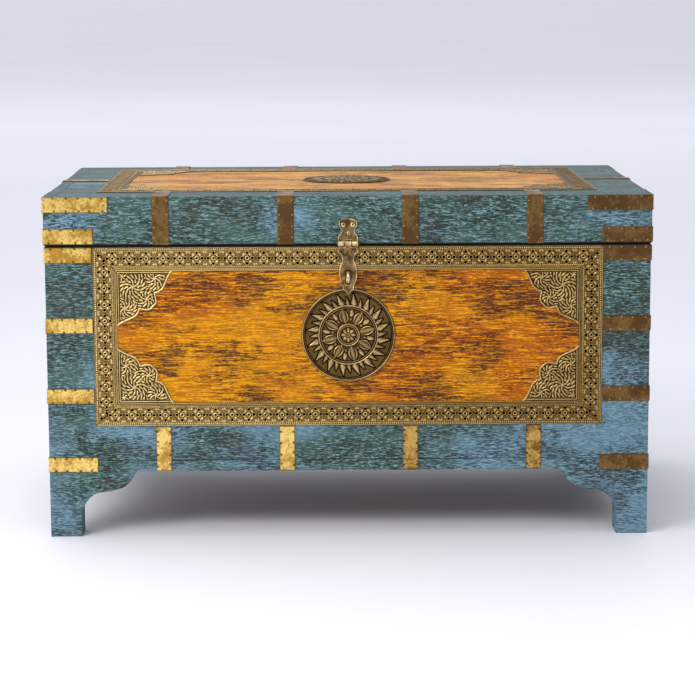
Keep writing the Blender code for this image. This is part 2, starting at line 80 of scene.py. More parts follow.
class Look:
    """A material's node tree, with short ways to add the nodes used here."""

    def __init__(self, name):
        self.material = bpy.data.materials.new(name)
        self.material.use_nodes = True
        self.tree = self.material.node_tree
        self.shader = self.tree.nodes["Principled BSDF"]
        self.place = self.tree.nodes.new("ShaderNodeTexCoord").outputs["Object"]

    def put(self, socket, value):
        if isinstance(value, bpy.types.NodeSocket):
            self.tree.links.new(value, socket)
        else:
            socket.default_value = value

    def node(self, kind, inputs, **settings):
        made = self.tree.nodes.new("ShaderNode" + kind)
        for name, value in settings.items():
            setattr(made, name, value)
        for name, value in inputs.items():
            self.put(made.inputs[name], value)
        return made

    def noise(self, scale, detail=3.0, roughness=0.55, shift=0.0, distortion=0.0):
        where = self.node("Mapping", {"Vector": self.place, "Location": (shift,) * 3, "Scale": scale})
        given = {"Vector": where.outputs[0], "Scale": 1.0, "Detail": detail}
        given |= {"Roughness": roughness, "Distortion": distortion}
        return self.node("TexNoise", given).outputs[0]

    def step(self, value, low, high, start=0.0, end=1.0):
        given = {"Value": value, "From Min": low, "From Max": high, "To Min": start, "To Max": end}
        return self.node("MapRange", given, interpolation_type="SMOOTHSTEP").outputs[0]

    def math(self, operation, first, second=0.0):
        return self.node("Math", {0: first, 1: second}, operation=operation).outputs[0]

    def scaled(self, value, by):
        return self.math("MULTIPLY", value, by)

    def mix(self, factor, first, second, blend="MIX"):
        given = {0: factor, 6: first, 7: second}
        return self.node("Mix", given, data_type="RGBA", blend_type=blend).outputs[2]

    def named(self, attribute):
        return self.node("Attribute", {}, attribute_name=attribute).outputs["Fac"]

    def bump(self, height, strength, distance):
        given = {"Height": height, "Strength": strength, "Distance": distance}
        self.put(self.shader.inputs["Normal"], self.node("Bump", given).outputs[0])

    def finish(self, **inputs):
        for name, value in inputs.items():
            self.put(self.shader.inputs[name.replace("_", " ")], value)
        return self.material


def stretched(grain, along, across):
    """A noise scale that is drawn out along the grain's axis: 0 for X, 1 for Y, 2 for Z."""
    return tuple(along if axis == grain else across for axis in range(3))


# The axis that the grain runs along
ALONG_X, ALONG_Y = 0, 1

# Where the lid closes on the box, and where two planks of the front and of the back meet
SEAM_Z = (LID_LOW.z + BOX_HIGH.z) / 2
JOINT_Z = 0.103
# Colour of the painted shade where the lid closes on the box, and of the crack between two planks
SHADE_AND_CRACK = display(22, 20, 18)

TEAL = (display(73, 101, 93), display(110, 146, 164), display(130, 160, 170))
TEAL_WEAR = {"lines": display(30, 34, 30), "worn": display(48, 46, 40), "spread": (0.48, 0.66)}
TEAL_WEAR |= {"speckle": 0.92, "thread": (115, 680), "lift": 0.20}
ORANGE = (display(190, 102, 2), display(214, 138, 0), display(238, 168, 4))
# The top panel's orange is made paler than the front's: a painted sheen
SHEEN_ORANGE = (display(210, 132, 44), display(226, 160, 66), display(240, 186, 96))
ORANGE_WEAR = {"lines": display(76, 32, 8), "worn": display(50, 28, 20), "spread": (0.49, 0.62)}
ORANGE_WEAR |= {"thread": (52, 620)}


def seam_shade_and_crack_lines(look, grain, rise, streak):
    """Dark lines: painted shade along the arrises where the lid closes, and a dark crack where two planks
    meet.
    """
    from_seam = look.math("ABSOLUTE", look.math("SUBTRACT", rise, SEAM_Z))
    uneven = look.math("ADD", from_seam, look.scaled(streak, -0.0012))
    # Painted shade in the gap where the lid closes
    seam_shade = look.step(uneven, 0.0012, 0.0026, 1.0, 0.0)
    if grain == ALONG_Y:
        return seam_shade
    wander = look.scaled(look.noise((9, 9, 9), 2, 0.5, 4.4), 0.004)
    from_joint = look.math("SUBTRACT", look.math("SUBTRACT", rise, wander), JOINT_Z)
    hairline = look.step(look.math("ABSOLUTE", from_joint), 0.0003, 0.0011, 1.0, 0.0)
    shown = look.step(look.noise((14, 14, 14), 2, 0.5, 9.3), 0.38, 0.52, 0.25, 0.85)
    return look.math("MAXIMUM", seam_shade, look.math("MULTIPLY", hairline, shown))


def worn_paint(name, grain, shades, lines, worn, spread, speckle, thread, lift=0.0, lean=0.0):
    """Brushed-on paint, rubbed through in patches along the grain.

    shades are the paint's two main colours and its brightest one. lines is the colour of the fine dark
    streaks, and worn that of the patches. spread is where in the patch noise the wear starts and is full.
    speckle is how dark the streaks are outside the patches, and thread is their scale along and across the
    grain. lift turns the paint to its first colour higher up, and lean does so to the right.
    """
    look = Look(name)
    broad = look.noise(stretched(grain, 7, 13), 2, 0.5, 3.1)
    patch = look.noise(stretched(grain, 10, 24), 5, 0.58, 7.7, 0.5)
    streak = look.noise(stretched(grain, *thread), 4, 0.72, 1.3)
    speck = look.noise(stretched(grain, 200, 1000), 2, 0.6, 5.9)
    tone = look.math("ADD", look.scaled(streak, 0.68), look.scaled(speck, 0.32))
    where = look.node("SeparateXYZ", {0: look.place}).outputs
    drift = look.math("SUBTRACT", broad, look.scaled(look.step(where["Z"], 0.05, 0.42), lift))
    drift = look.math("SUBTRACT", drift, look.scaled(look.step(where["X"], -0.1, 0.3), lean))
    base = look.mix(look.step(drift, 0.36, 0.56), shades[0], shades[1])
    base = look.mix(look.step(tone, 0.52, 0.60), base, shades[2])
    hollow = look.step(tone, 0.45, 0.535, 1.0, 0.0)
    wear = look.step(patch, *spread)
    calm = look.noise(stretched(grain, 11, 24), 2, 0.5, 15.2)
    calm = look.step(calm, 0.40, 0.60, speckle * 0.45, speckle)
    amount = look.math("MULTIPLY", hollow, look.math("ADD", look.scaled(wear, 0.5), calm))
    amount = look.math("ADD", amount, look.scaled(wear, 0.34))
    base = look.mix(look.math("MINIMUM", amount, 0.92), base, look.mix(wear, lines, worn))
    # Painted shade along the lid's seam, and the planks' crack, laid over the paint
    base = look.mix(seam_shade_and_crack_lines(look, grain, where["Z"], streak), base, SHADE_AND_CRACK)
    look.bump(look.math("SUBTRACT", tone, look.scaled(wear, 0.2)), 0.4, 0.0006)
    rough = look.step(streak, 0.3, 0.7, 0.46, 0.66)
    return look.finish(Base_Color=base, Roughness=rough, Specular_IOR_Level=0.20)


def brushed_brass(name, bright, dull, edge, roughness):
    """Thin sheet brass, wiped and mottled, dull where tarnished. edge is for its rim and its nails."""
    look = Look(name)
    cloud = look.noise((38, 38, 38), 4, 0.6, 2.2)
    speck = look.noise((300, 300, 300), 3, 0.6, 4.1)
    wiped = look.noise((70, 70, 520), 3, 0.6, 6.6)
    tarnish = look.math("ADD", look.scaled(cloud, 0.7), look.scaled(speck, 0.3))
    base = look.mix(look.step(tarnish, 0.41, 0.58), bright, dull)
    base = look.mix(look.step(speck, 0.54, 0.68, 0.0, 0.8), base, dull)
    level = look.math("ADD", look.named("relief"), look.scaled(speck, 0.3))
    base = look.mix(look.step(level, 0.35, 0.80, 0.9, 0.0), base, edge)
    look.bump(look.math("ADD", speck, wiped), 0.3, 0.0005)
    rough = look.step(cloud, 0.3, 0.7, roughness - 0.06, roughness + 0.10)
    return look.finish(Base_Color=base, Metallic=1.0, Roughness=rough)


def cast_brass(name, high, middle, recess, right_shade=0.0, roughness=0.36):
    """Embossed or cast brass: rubbed bright on what stands proud, dark in what lies deep.

    The argument after recess is how much darker it is painted at the right-hand end: painted shade, as if
    lit from the left.
    """
    look = Look(name)
    depth = look.named("relief")
    cloud = look.noise((24, 24, 24), 3, 0.6, 8.8)
    speck = look.noise((420, 420, 420), 3, 0.6, 1.7)
    level = look.math("ADD", depth, look.scaled(look.math("SUBTRACT", cloud, 0.5), 0.25))
    base = look.mix(look.step(level, 0.05, 0.46), recess, middle)
    base = look.mix(look.step(level, 0.50, 0.94), base, high)
    side = look.node("SeparateXYZ", {0: look.place}).outputs["X"]
    # Painted shade, darker towards the right-hand end
    right_shaded = look.step(look.math("ADD", side, look.scaled(cloud, 0.3)), -0.10, 0.35, 0.0, right_shade)
    base = look.mix(right_shaded, base, middle, "MULTIPLY")
    base = look.mix(look.step(speck, 0.52, 0.70, 0.0, 0.6), base, recess)
    look.bump(speck, 0.3, 0.0003)
    rough = look.step(depth, 0.1, 0.8, roughness + 0.24, roughness - 0.04)
    return look.finish(Base_Color=base, Metallic=1.0, Roughness=rough)


def hardware_brass(name, bright, dull):
    """Thick brass of the hasp, clouded and scratched. Its bright and dark copies are painted highlight and
    painted shade.
    """
    look = Look(name)
    cloud = look.noise((90, 90, 90), 4, 0.65, 5.2)
    scratch = look.noise((900, 260, 260), 2, 0.5, 3.3)
    base = look.mix(look.step(cloud, 0.40, 0.64), bright, dull)
    look.bump(look.math("ADD", cloud, scratch), 0.3, 0.0005)
    return look.finish(Base_Color=base, Metallic=1.0, Roughness=look.step(cloud, 0.3, 0.7, 0.26, 0.46))


def bare_wood(name):
    look = Look(name)
    figure = look.noise((5, 34, 34), 4, 0.6, 1.1, 1.2)
    pore = look.noise((40, 900, 900), 2, 0.5, 2.7)
    base = look.mix(look.step(figure, 0.34, 0.66), display(104, 84, 66), display(72, 58, 46))
    base = look.mix(look.step(pore, 0.58, 0.74, 0.0, 0.6), base, display(46, 36, 28))
    look.bump(pore, 0.3, 0.0003)
    return look.finish(Base_Color=base, Roughness=look.step(figure, 0.3, 0.7, 0.58, 0.74))


def make_materials():
    # One sheet brass in three copies: bright as lit, pale partly in painted shade, and the darkest in
    # tarnish and painted shade
    gold = (display(250, 216, 124), display(188, 142, 58), display(90, 60, 22))
    pale = (display(206, 166, 92), display(126, 92, 42), display(80, 52, 20))
    tarnish_and_shade = (display(132, 102, 60), display(98, 72, 42), display(176, 148, 102))
    front = (display(236, 208, 142), display(156, 128, 74), display(4, 2, 0))
    # The lid top's embossed brass: the front's with a darker middle, which is painted shade
    top = (display(214, 180, 122), display(96, 76, 52), display(4, 2, 0))
    disc = (display(210, 182, 128), display(122, 96, 54), display(22, 15, 6))
    return {
        "blue_x": worn_paint("blue_paint_x", ALONG_X, TEAL, **TEAL_WEAR),
        "blue_y": worn_paint("blue_paint_y", ALONG_Y, TEAL, **TEAL_WEAR),
        "orange": worn_paint("orange_paint_x", ALONG_X, ORANGE, speckle=0.88, lean=0.10, **ORANGE_WEAR),
        "sheen_orange": worn_paint("orange_paint_top_sheen", ALONG_X, SHEEN_ORANGE, speckle=0.80, **ORANGE_WEAR),
        "gold": brushed_brass("brass_bright", *gold, 0.34),
        "pale": brushed_brass("brass_half_shaded", *pale, 0.36),
        "tarnish_and_shade": brushed_brass("brass_tarnish_and_shade", *tarnish_and_shade, 0.42),
        "embossed": cast_brass("brass_embossed", *front, 0.44, 0.46),
        "embossed_shaded_top": cast_brass("embossed_brass_shaded_top", *top, 0.44, 0.46),
        "cast": cast_brass("brass_cast", *disc),
        "hardware": hardware_brass("brass_hardware", display(158, 130, 84), display(84, 64, 36)),
        # A bright copy of the hasp's brass: painted highlight
        "highlit": hardware_brass("brass_highlit", display(250, 228, 178), display(160, 132, 84)),
        # A dark copy of the hasp's brass: painted shade in the slot and in sunken screw middles
        "shadowed": hardware_brass("brass_shadowed", display(40, 28, 14), display(22, 14, 6)),
        "wood": bare_wood("bare_wood"),
    }


# ---- Meshes ----


def linked(name, data):
    """A new object in the scene."""
    made = bpy.data.objects.new(name, data)
    bpy.context.scene.collection.objects.link(made)
    return made


def mesh_object(name, points, faces, material, body, relief):
    mesh = bpy.data.meshes.new(name)
    mesh.from_pydata(points, [], faces)
    mesh.materials.append(material)
    mesh.shade_smooth()
    held = mesh.attributes.new("relief", "FLOAT", "POINT")
    held.data.foreach_set("value", np.asarray(relief, np.float32))
    made = linked(name, mesh)
    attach(made, body)
    return made


def grid_faces(index):
    """Quads over a grid of point numbers. Where two of a quad's corners are one point, it is a triangle."""
    a, b = index[:-1, :-1].ravel(), index[1:, :-1].ravel()
    c, d = index[1:, 1:].ravel(), index[:-1, 1:].ravel()
    corners = zip(a.tolist(), b.tolist(), c.tolist(), d.tolist())
    return [tuple(dict.fromkeys(quad)) for quad in corners]


def closed_grid(u, v, w, around=False):
    """A closed sheet: a grid of tops, skirts down to w = 0 and one flat underside.

    u, v and w are arrays of the same shape. With around, rows wrap and the first column is one point.
    """
    rows, columns = u.shape
    index = np.arange(rows * columns).reshape(rows, columns)
    if around:
        index[:, 0] = index[0, 0]
        index = np.vstack([index, index[:1]])
        loop = [int(i) for i in index[:-1, -1]]
    else:
        loop = [int(i) for i in rim_of(index)]
    faces = grid_faces(index)
    points = np.column_stack([u.ravel(), v.ravel(), w.ravel()])
    base = len(points)
    under = points[loop]
    under[:, 2] = 0.0
    count = len(loop)
    for k in range(count):
        n = (k + 1) % count
        faces.append((loop[k], loop[n], base + n, base + k))
    faces.append(tuple(base + k for k in range(count)))
    return np.vstack([points, under]), faces


def rim_of(index):
    """The point numbers round a grid's edge, in order."""
    return [*index[:-1, 0], *index[-1, :-1], *index[::-1, -1][:-1], *index[0, ::-1][:-1]]


def tidied(made):
    """Drops points with no face, and turns every face outwards."""
    tidy = bmesh.new()
    tidy.from_mesh(made.data)
    loose = [vert for vert in tidy.verts if not vert.link_faces]
    bmesh.ops.delete(tidy, geom=loose, context="VERTS")
    bmesh.ops.recalc_face_normals(tidy, faces=tidy.faces)
    tidy.to_mesh(made.data)
    tidy.free()
    made.data.set_sharp_from_angle(angle=math.radians(60))
    return made


def placed(points, place):
    """Points in millimetres, placed in metres by a matrix."""
    world = np.column_stack([points * MM, np.ones(len(points))]) @ np.array(place).T
    return world[:, :3].tolist()


def relief_piece(name, u, v, height, level, place, look, body, around=False):
    """A sheet with relief, in millimetres over (u, v), closed underneath. level is how bright it looks."""
    points, faces = closed_grid(u, v, height, around)
    shown = np.zeros(len(points))
    shown[: height.size] = level.ravel() / RELIEF_TOP
    return tidied(mesh_object(name, placed(points, place), faces, look, body, np.clip(shown, 0, 1)))


# ---- Relief, as heights in millimetres ----

RELIEF_TOP = 1.5
GROUND = 0.45
PROUD = 0.12


def ridge(distance, half_width):
    """A rounded line: 1 on it, 0 from half_width away."""
    return np.clip(1 - (np.abs(distance) / half_width) ** 2, 0, 1)


def dome(distance, radius):
    return np.sqrt(np.clip(1 - (distance / radius) ** 2, 0, 1))


def repeated(along, pitch):
    """Where a point lies in its repeat, from -pitch / 2 to pitch / 2."""
    return (along + pitch / 2) % pitch - pitch / 2


def raised(height, added):
    """Adds something that stands proud, and leaves the hollows round it."""
    return np.where(added > 0, np.maximum(height, added), height)


def punched(along, across, pitch):
    """A ground of small hollows, in rows at 45 degrees."""
    u, v = (along + across) * math.sqrt(0.5), (along - across) * math.sqrt(0.5)
    return dome(np.hypot(repeated(u, pitch), repeated(v, pitch)), 0.45 * pitch)


# The five holes of one repeat: where each is, its radius, that of its ring and how far the ring stands out
OUTER_HOLES = ((7, 0), (-7, 0), (0, 7), (0, -7))
HOLES = ((0, 0, 1.6, 2.9, 0.75), *((u, v, 2.0, 2.9, 0.40) for u, v in OUTER_HOLES))
HOLE_DEPTH = -0.42
RHOMB_HALF = 9.6
LEAF_OFF, LEAF_RADIUS = 4.4, 1.9
BUD_OFF, BUD_RADIUS = (1.6, 8.0), 1.6


def lattice(along, across, pitch):
    """Ringed holes in fives, in faint rhombi, with a cross between. across is from the row's middle."""
    s, half = repeated(along, pitch), pitch / 2
    height = -0.14 * punched(along, across, 2.4)
    diamond = np.abs(s) / half + np.abs(across) / RHOMB_HALF
    height = raised(height, 0.40 * ridge((diamond - 1) * 6.5, 0.9))
    arm = np.abs(np.abs(np.abs(s) - half) - np.abs(across))
    height = np.where((arm < 1.1) & (np.abs(across) < 4.6), -0.30 * ridge(arm, 1.1), height)
    for u in (-1, 1):
        for v in (-1, 1):
            x, y = s - u * LEAF_OFF, across - v * LEAF_OFF
            leaf = np.hypot(x + u * v * y, 0.62 * (x - u * v * y))
            height = raised(height, 0.75 * dome(leaf, LEAF_RADIUS))
            bud = np.hypot(s - u * (half - BUD_OFF[0]), across - v * BUD_OFF[1])
            height = raised(height, 0.6 * dome(bud, BUD_RADIUS))
    for u, v, hole, ring, stands in HOLES:
        away = np.hypot(s - u, across - v)
        height = np.where(away < ring + 0.5, -0.20, height)
        height = raised(height, stands * ridge(away - (hole + ring) / 2, (ring - hole) / 2 + 0.2))
        height = np.where(away < hole, HOLE_DEPTH, height)
    return height


# The border's rows, from its outer edge or its inner one
LINE_OUT, BEADS_OUT, STEP_OUT = 0.8, 3.2, 5.2
ROPE_IN, STEP_IN, LINE_IN = 5.8, 3.1, 0.9
LATTICE_OUT, LATTICE_IN = 5.6, 7.6
BEAD_PITCH, BEAD_RADIUS, ROPE_PITCH = 2.8, 1.15, 2.7


def border_relief(along, across, width, pitch):
    """across is from the border's outer edge to its inner one, width mm in."""
    height = np.full(across.shape, -0.20)
    height = raised(height, 0.75 * ridge(across - LINE_OUT, 0.75))
    bead = np.hypot(across - BEADS_OUT, repeated(along, BEAD_PITCH)) / BEAD_RADIUS
    height = raised(height, 0.75 * dome(bead, 1.0))
    height = raised(height, 0.45 * ridge(across - STEP_OUT, 0.5))
    inside = (across > LATTICE_OUT) & (across < width - LATTICE_IN)
    from_middle = across - (LATTICE_OUT + width - LATTICE_IN) / 2
    height = np.where(inside, lattice(along, from_middle, pitch), height)
    rope = repeated(along + 0.9 * (across - width), ROPE_PITCH)
    strand = np.hypot((across - (width - ROPE_IN)) / 1.4, rope)
    height = raised(height, 0.7 * dome(strand, 1.0))
    height = raised(height, 0.75 * ridge(across - (width - STEP_IN), 0.75))
    return raised(height, 0.8 * ridge(across - (width - LINE_IN), 0.8))


def shade_beside_raised(height, cells):
    """1 on low ground beside something raised, 0 on open ground: where painted shade is laid."""
    low = height < PROUD
    spread = (~low).astype(float)
    for _ in range(cells):
        spread = np.maximum.reduce([spread, np.roll(spread, 1, 0), np.roll(spread, -1, 0)])
        spread[:, 1:-1] = np.maximum.reduce([spread[:, 1:-1], spread[:, :-2], spread[:, 2:]])
    return spread * low


def worn_and_shaded_level(height):
    """How bright brass looks at each height, as a height: dark in hollows, and darker beside what stands
    proud as painted shade.
    """
    level = np.where(height < 0, 0.50 + 1.20 * height, 0.50 + 0.70 * height)
    # Painted shade beside what stands proud
    return RELIEF_TOP * (level - 0.16 * shade_beside_raised(height, 1))


TIER_MM = 6.0
GROOVE = -0.22
LEAVES_FIRST, LEAVES_MORE = 6, 6


def fan(u, v, centre, radius, curl, turn):
    """Tiers of pointed leaves that curl out from a centre: (how far out, 0 to 1, height)."""
    out = np.hypot(u - centre[0], v - centre[1])
    angle = np.arctan2(v - centre[1], u - centre[0])
    tier = np.floor(out / TIER_MM)
    within = out / TIER_MM - tier
    leaves = LEAVES_FIRST + LEAVES_MORE * tier
    wave = 0.5 + 0.5 * np.cos(leaves * (angle + curl * out) + turn + tier)
    share = np.clip((wave - 0.16 - 0.62 * within**2) / 0.55, 0, 1)
    height = np.where(share > 0, 0.06 + 0.60 * share, GROOVE)
    return out / radius, raised(height, 0.7 * dome(out, 1.8))


# Each fan's centre from the border's inner corner, its radius, its curl and the turn it starts from
SPANDREL_FANS = (
    ((21.0, 21.0), 21.0, 0.05, 0.8),
    ((50.0, 10.0), 15.0, -0.07, 0.4),
    ((10.0, 50.0), 15.0, 0.07, 1.2),
    ((40.0, 37.0), 13.0, -0.06, 1.7),
    ((7.0, 7.0), 8.0, 0.06, 0.0),
)


def spandrel_relief(a, b, to_edge):
    """a and b are from the border's inner corner along its two edges, to_edge from the cut outline."""
    nearest = np.full(a.shape, np.inf)
    height = np.zeros(a.shape)
    for centre, radius, curl, turn in SPANDREL_FANS:
        out, leaves = fan(a, b, centre, radius, curl, turn)
        height = np.where(out < nearest, leaves, height)
        height = np.where(np.abs(out - nearest) < 0.04, GROOVE, height)
        nearest = np.minimum(nearest, out)
    leg = np.minimum(a, b)
    room = np.clip((leg - 3.4) / 0.8, 0, 1) * np.clip((to_edge - 3.4) / 0.8, 0, 1)
    height = height * room + GROOVE * (1 - room)
    height = raised(height, 0.6 * ridge(leg - 1.5, 0.8))
    return raised(height, 0.8 * ridge(to_edge - 1.2, 1.3))


def turned_to(radius, angle, centre_angle, bend=0.0):
    """A point in the axes of something that points outwards at centre_angle, which bends as it goes out."""
    off = angle - centre_angle - bend * (radius - 40)
    off = (off + math.pi) % math.tau - math.pi
    return radius * np.cos(off), radius * np.sin(off)


def leaf_share(x, y, start, end, half_width):
    """0 on a pointed leaf's middle line, 1 on its outline, more outside."""
    middle, half = (start + end) / 2, (end - start) / 2
    room = 1 - ((x - middle) / half) ** 2
    return np.where(room > 0.02, np.abs(y) / (half_width * np.maximum(room, 0.02)), 9.0)


def flame_share(x, y, start, end, half_width):
    """As leaf_share, for a flame: widest near its root, hollow-sided towards its tip."""
    t = (x - start) / (end - start)
    inside = (t > 0) & (t < 1)
    t = np.clip(t, 0, 1)
    room = np.where(inside, np.minimum(1, 6 * t) ** 0.5 * (1 - t) ** 1.15, 0)
    return np.where(room > 0.02, np.abs(y) / (half_width * np.maximum(room, 0.02)), 9.0)


# The medallion's rings, as (radius, height), and what stands between them, as (start, end, half-width)
MEDALLION_MM = 62.7
RINGS = ((39.4, 0.9), (36.6, 0.5), (14.4, 0.9), (12.0, 0.5), (2.0, 0.6))
PETALS, FLAMES = 8, 16
LEAF, LEAF_TURN = (15.2, 35.8, 6.2), math.radians(13.5)
SEED_TURN = math.radians(36.0)
LONG_FLAME, SHORT_FLAME = (40.6, 56.4, 5.4), (40.6, 51.4, 3.5)
FLAME_TURN, FLAME_BEND = math.radians(78.75), 0.005


def daisy_relief(radius, angle, height):
    """Outlined leaves with a punched ground, two seeds between each, and petals round the middle."""
    for k in range(PETALS):
        turn = k * math.tau / PETALS
        x, y = turned_to(radius, angle, LEAF_TURN + turn)
        share = leaf_share(x, y, *LEAF)
        height = np.maximum(height, 0.9 * ridge((share - 0.84) * 5, 0.9) * (share < 1.1))
        inner = 0.7 * np.sqrt(np.clip(1 - share / 0.56, 0, 1)) + 0.1 - 0.40 * punched(x, y, 2.3)
        height = np.maximum(height, np.where(share < 0.52, inner, 0))
        x, y = turned_to(radius, angle, SEED_TURN + turn)
        height = np.maximum(height, 0.9 * dome(np.hypot((x - 29.5) / 5.2, y / 2.7), 1.0))
        height = np.maximum(height, 0.6 * dome(np.hypot((x - 21.5) / 2.0, y / 1.7), 1.0))
        x, y = turned_to(radius, angle, turn)
        height = np.maximum(height, 0.9 * dome(np.hypot((x - 6.4) / 3.4, y / 1.75), 1.0))
    return height


def medallion_relief(radius, angle):
    height = 0.7 * ridge(radius - 61.4, 1.2) + 0.3 * ridge(radius - 58.6, 0.6)
    for ring, strength in RINGS:
        height = np.maximum(height, strength * ridge(radius - ring, 1.0))
    height = daisy_relief(radius, angle, height)
    step = math.tau / FLAMES
    for k in range(FLAMES):
        for flame, turn, foot, rise in ((LONG_FLAME, k, 0.30, 0.70), (SHORT_FLAME, k + 0.5, 0.25, 0.55)):
            x, y = turned_to(radius, angle, FLAME_TURN + turn * step, FLAME_BEND)
            share = flame_share(x, y, *flame)
            height = np.maximum(height, np.where(share < 1, foot + rise * (1 - share), 0))
    return height


# ---- Borders, spandrels and medallions ----

BORDER_MM = 32.0
CELL = 0.75
SPANDREL_GRID, MEDALLION_GRID = (141, 106), (480, 96)
SHEET_JOINT = 0.15
PITCH_LONG, PITCH_SHORT = 22.4, 22.0
SIDES = {"top": (0, 1), "bottom": (0, -1), "left": (1, -1), "right": (1, 1)}
CORNERS = {"top_left": (-1, 1), "top_right": (1, 1), "bottom_left": (-1, -1), "bottom_right": (1, -1)}


def strip_grid(half_length):
    """(along, across) over one mitred side of a border, with a joint left at each mitre."""
    columns = int(2 * half_length / CELL)
    rows = int(BORDER_MM / CELL)
    share = np.linspace(-1, 1, columns + 1)[:, None]
    across = np.linspace(0, BORDER_MM, rows + 1)[None, :] * np.ones_like(share)
    return share * (half_length - SHEET_JOINT - across), across


def border_sides(name, half_u, half_v, place, look, body, node):
    for side, (upright, sign) in SIDES.items():
        half_length = half_v if upright else half_u
        along, across = strip_grid(half_length)
        out = sign * ((half_u if upright else half_v) - across)
        u, v = (out, along) if upright else (along, out)
        relief = border_relief(along, across, BORDER_MM, PITCH_SHORT if upright else PITCH_LONG)
        mitre = np.clip(0.35 + (half_length - across - np.abs(along)) / 0.8, 0, 1)
        height, level = (GROUND + relief) * mitre, worn_and_shaded_level(relief) * mitre
        piece = relief_piece(f"{name}_{side}", u, v, height, level, place, look, body)
        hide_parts(node)


def bezier(points, steps):
    a, b, c, d = (np.array(p) for p in points)
    t = np.linspace(0, 1, steps + 1)[1:, None]
    return (1 - t) ** 3 * a + 3 * t * (1 - t) ** 2 * b + 3 * t * t * (1 - t) * c + t**3 * d


def spandrel_outline():
    """(a, b) from the end of one leg to the end of the other, as the CAD cuts it."""
    half = [np.array([[75.0, 0.0]])]
    half.append(bezier(((75, 0), (69, 4), (66, 16), (62, 23)), 12))
    half.append(bezier(((62, 23), (59, 27), (55, 29), (51, 30)), 8))
    half.append(bezier(((51, 30), (53.5, 37), (54, 45), (48.02, 48.02)), 12))
    half = np.vstack(half)
    return np.vstack([half, half[-2::-1, ::-1]])


def distance_to(outline, a, b):
    """How far each point is from a polyline."""
    least = np.full(a.shape, np.inf)
    for (x0, y0), (x1, y1) in zip(outline[:-1], outline[1:]):
        dx, dy = x1 - x0, y1 - y0
        t = np.clip(((a - x0) * dx + (b - y0) * dy) / (dx * dx + dy * dy), 0, 1)
        least = np.minimum(least, np.hypot(a - x0 - t * dx, b - y0 - t * dy))
    return least


def spandrels(name, half_u, half_v, place, look, body, node):
    outline = spandrel_outline()
    angles = np.arctan2(outline[:, 1], outline[:, 0])
    reach = np.hypot(outline[:, 0], outline[:, 1])
    turn = np.linspace(0, math.pi / 2, SPANDREL_GRID[0])[:, None]
    edge = np.interp(turn, angles, reach)
    out = np.linspace(0, 1, SPANDREL_GRID[1])[None, :] ** 0.9 * edge
    a, b = out * np.cos(turn), out * np.sin(turn)
    relief = spandrel_relief(a, b, distance_to(outline, a, b))
    height, level = GROUND + relief, worn_and_shaded_level(relief)
    for corner, (side_u, side_v) in CORNERS.items():
        u = side_u * (half_u - BORDER_MM - SHEET_JOINT - a)
        v = side_v * (half_v - BORDER_MM - SHEET_JOINT - b)
        piece_name = f"{name}_spandrel_{corner}"
        piece = relief_piece(piece_name, u, v, height, level, place, look, body)
        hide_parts(node)


def medallion(name, place, look, body, node):
    angle = np.linspace(0, math.tau, MEDALLION_GRID[0], endpoint=False)[:, None]
    radius = np.linspace(0, MEDALLION_MM, MEDALLION_GRID[1])[None, :] * np.ones_like(angle)
    relief = medallion_relief(radius, angle * np.ones_like(radius))
    height = relief + 0.75 + 0.55 * (1 - (radius / MEDALLION_MM) ** 2)
    # The ground beside raised parts is darkened as painted shade
    level = 0.50 + 0.95 * relief - 0.46 * shade_beside_raised(relief, 2)
    u, v = radius * np.cos(angle), radius * np.sin(angle)
    piece = relief_piece(name, u, v, height, level, place, look, body, around=True)
    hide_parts(node)


def front_place(z):
    """Places (u, v, w) on the front: u to the right, v up, w out."""
    return Matrix(((1, 0, 0, 0), (0, 0, -1, FRONT_SHEET_Y), (0, 1, 0, z), (0, 0, 0, 1)))


def make_relief(looks):
    half_u = (FRONT_HIGH.x - FRONT_LOW.x) / 2 / MM
    half_v = (FRONT_HIGH.z - FRONT_LOW.z) / 2 / MM
    place = front_place((FRONT_HIGH.z + FRONT_LOW.z) / 2)
    border_sides("front_border", half_u, half_v, place, looks["embossed"], "box", "front_border")
    spandrels("front", half_u, half_v, place, looks["embossed"], "box", "front_border")
    low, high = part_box("front_medallion")
    medallion("front_disc", front_place((low.z + high.z) / 2), looks["cast"], "box", "front_medallion")
    half_u = (TOP_HIGH.x - TOP_LOW.x) / 2 / MM
    half_v = (TOP_HIGH.y - TOP_LOW.y) / 2 / MM
    place = Matrix.Translation((0, 0, TOP_SHEET_Z))
    # The top's border, spandrels and medallion take the embossed brass in painted shade
    border_sides("top_border", half_u, half_v, place, looks["embossed_shaded_top"], "lid", "top_border")
    spandrels("top", half_u, half_v, place, looks["embossed_shaded_top"], "lid", "top_border")
    medallion("top_disc", place, looks["embossed_shaded_top"], "lid", "top_medallion")


# ---- Brass bands and straps ----

SHEET_MM = 1.0
SHEET_GAP = 0.3
STRIP_MM = SHEET_GAP + SHEET_MM
STRIP_CELL = 0.8
BEND_MM = 1.4
NAIL_MM, NAIL_PITCH, NAIL_IN = 1.15, 16, 2.3
DARK_EDGE_MM = 2.8
STRAP_FACES = {"lid": (LID_HIGH.x, LID_BACK), "box": (END_HIGH.x, -BOX_LOW.y)}


